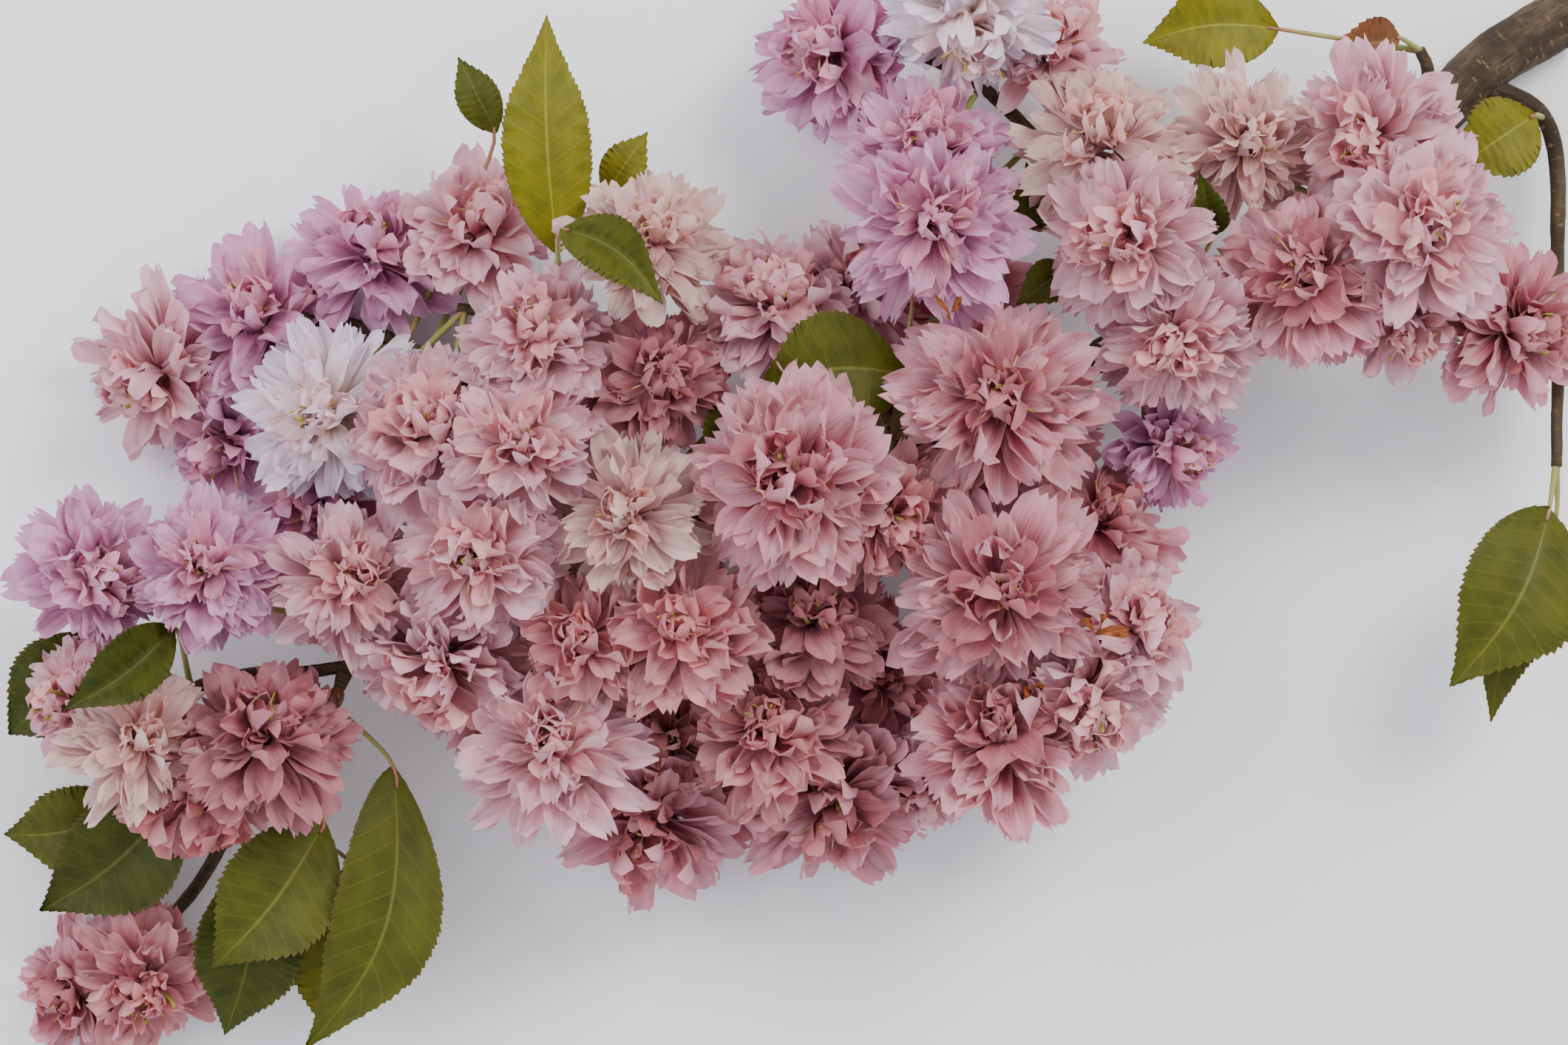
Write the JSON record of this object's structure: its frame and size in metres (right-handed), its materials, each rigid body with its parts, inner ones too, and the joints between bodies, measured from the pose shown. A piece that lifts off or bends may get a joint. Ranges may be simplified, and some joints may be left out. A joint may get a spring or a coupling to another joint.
{
  "type": "cut flowering branch of a double cherry",
  "caption": "Cut branch of a double-flowered pink cherry, lying down: a tapering limb with leafy sprays and a solid for each large bloom.",
  "frame": {"origin": "middle of the bounding box, at its underside, where the branch lies on the floor", "axes": "+X along the branch towards its cut end, +Y across it, +Z up off the floor, so a viewer above with +Y up sees the picture's view"},
  "size_m": [0.3446, 0.238, 0.0796],
  "materials": {
    "bark": "rough grey-brown bark with pale breathing pores and a fresh sawn end",
    "stalk": "soft matt green, redder at the flower cups",
    "leaf": "satin mid-green with paler veins",
    "petal_white": "soft translucent near-white petals",
    "petal_pale": "soft translucent pale pink petals",
    "petal_pink": "soft translucent rose pink petals",
    "stamen": "dusty yellow-green"
  },
  "bodies": {
    "root": {"limb_butt": "bark", "limb_middle": "bark", "limb_tip": "bark", "spray_tip": "stalk", "spray_left": "stalk", "spray_hanging": "stalk", "spray_upper_left": "stalk", "spray_left_back": "stalk", "spray_centre": "stalk", "spray_middle": "stalk", "spray_lower": "stalk", "spray_top": "stalk", "spray_right_centre": "stalk", "spray_right": "stalk", "spray_lower_right": "stalk", "spray_right_edge": "stalk", "spray_butt": "leaf", "spray_under_middle": "stalk", "spray_under_left": "stalk", "bloom_tip_1": "petal_pink", "bloom_tip_2": "petal_white", "bloom_tip_3": "petal_pink", "bloom_tip_4": "petal_pink", "bloom_left_1": "petal_pink", "bloom_left_2": "petal_pink", "bloom_left_3": "petal_pink", "bloom_upper_left_1": "petal_white", "bloom_upper_left_2": "petal_pale", "bloom_upper_left_3": "petal_pale", "bloom_upper_left_4": "petal_pink", "bloom_upper_left_5": "petal_white", "bloom_centre_1": "petal_pale", "bloom_centre_2": "petal_white", "bloom_centre_3": "petal_pale", "bloom_centre_4": "petal_pale", "bloom_centre_5": "petal_pink", "bloom_centre_6": "petal_pink", "bloom_centre_7": "petal_pale", "bloom_middle_1": "petal_pink", "bloom_middle_2": "petal_pale", "bloom_middle_3": "petal_pink", "bloom_middle_4": "petal_pale", "bloom_lower_1": "petal_pink", "bloom_lower_2": "petal_pink", "bloom_top_1": "petal_pink", "bloom_top_2": "petal_pink", "bloom_top_3": "petal_white", "bloom_top_4": "petal_white", "bloom_right_centre_1": "petal_pink", "bloom_right_centre_2": "petal_pale", "bloom_right_1": "petal_white", "bloom_right_2": "petal_pink", "bloom_right_3": "petal_pale", "bloom_right_4": "petal_pink", "bloom_right_5": "petal_pale", "bloom_lower_right_1": "petal_pink", "bloom_lower_right_2": "petal_pink", "bloom_lower_right_3": "petal_pale", "bloom_lower_right_4": "petal_pale", "bloom_right_edge_1": "petal_pink"}
  },
  "joints": []
}
